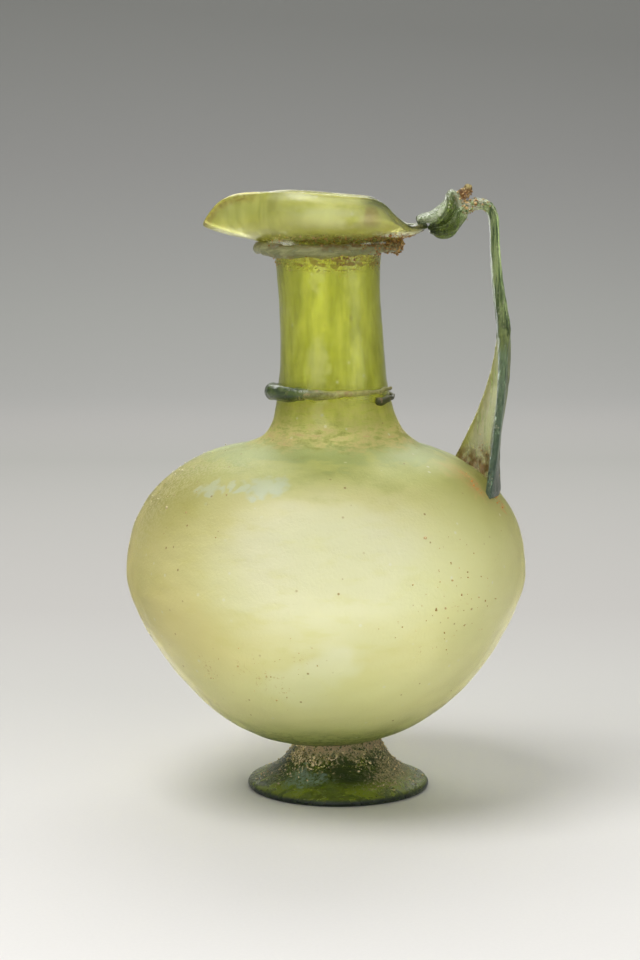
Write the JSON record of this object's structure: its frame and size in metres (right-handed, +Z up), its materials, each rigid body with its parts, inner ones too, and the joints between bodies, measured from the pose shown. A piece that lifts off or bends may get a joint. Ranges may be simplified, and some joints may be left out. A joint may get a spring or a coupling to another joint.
{
  "type": "glass jug",
  "caption": "Round-bellied glass jug on a flared foot, with a pressed spout, a thread round neck and rim, and a ribbed strap handle rising to a thumb rest.",
  "frame": {"origin": "on the standing plane, under the middle of the belly", "axes": "+Z up, +X towards the handle, so the spout points along -X"},
  "size_m": [0.1584, 0.158, 0.2397],
  "materials": {
    "body_glass": "weathered yellow-green glass, milky and see-through, finely pitted",
    "foot_glass": "darker green glass with a tan crust at its top",
    "neck_thread_glass": "dark green glass, glossy, brown in its corners",
    "rim_thread_glass": "green glass under a brown stain",
    "handle_glass": "blue-green glass, glossy, with whitish weathering on the thumb rest"
  },
  "bodies": {
    "root": {"body": "body_glass", "foot": "foot_glass", "neck_thread": "neck_thread_glass", "rim_thread": "rim_thread_glass", "handle": "handle_glass"}
  },
  "joints": []
}
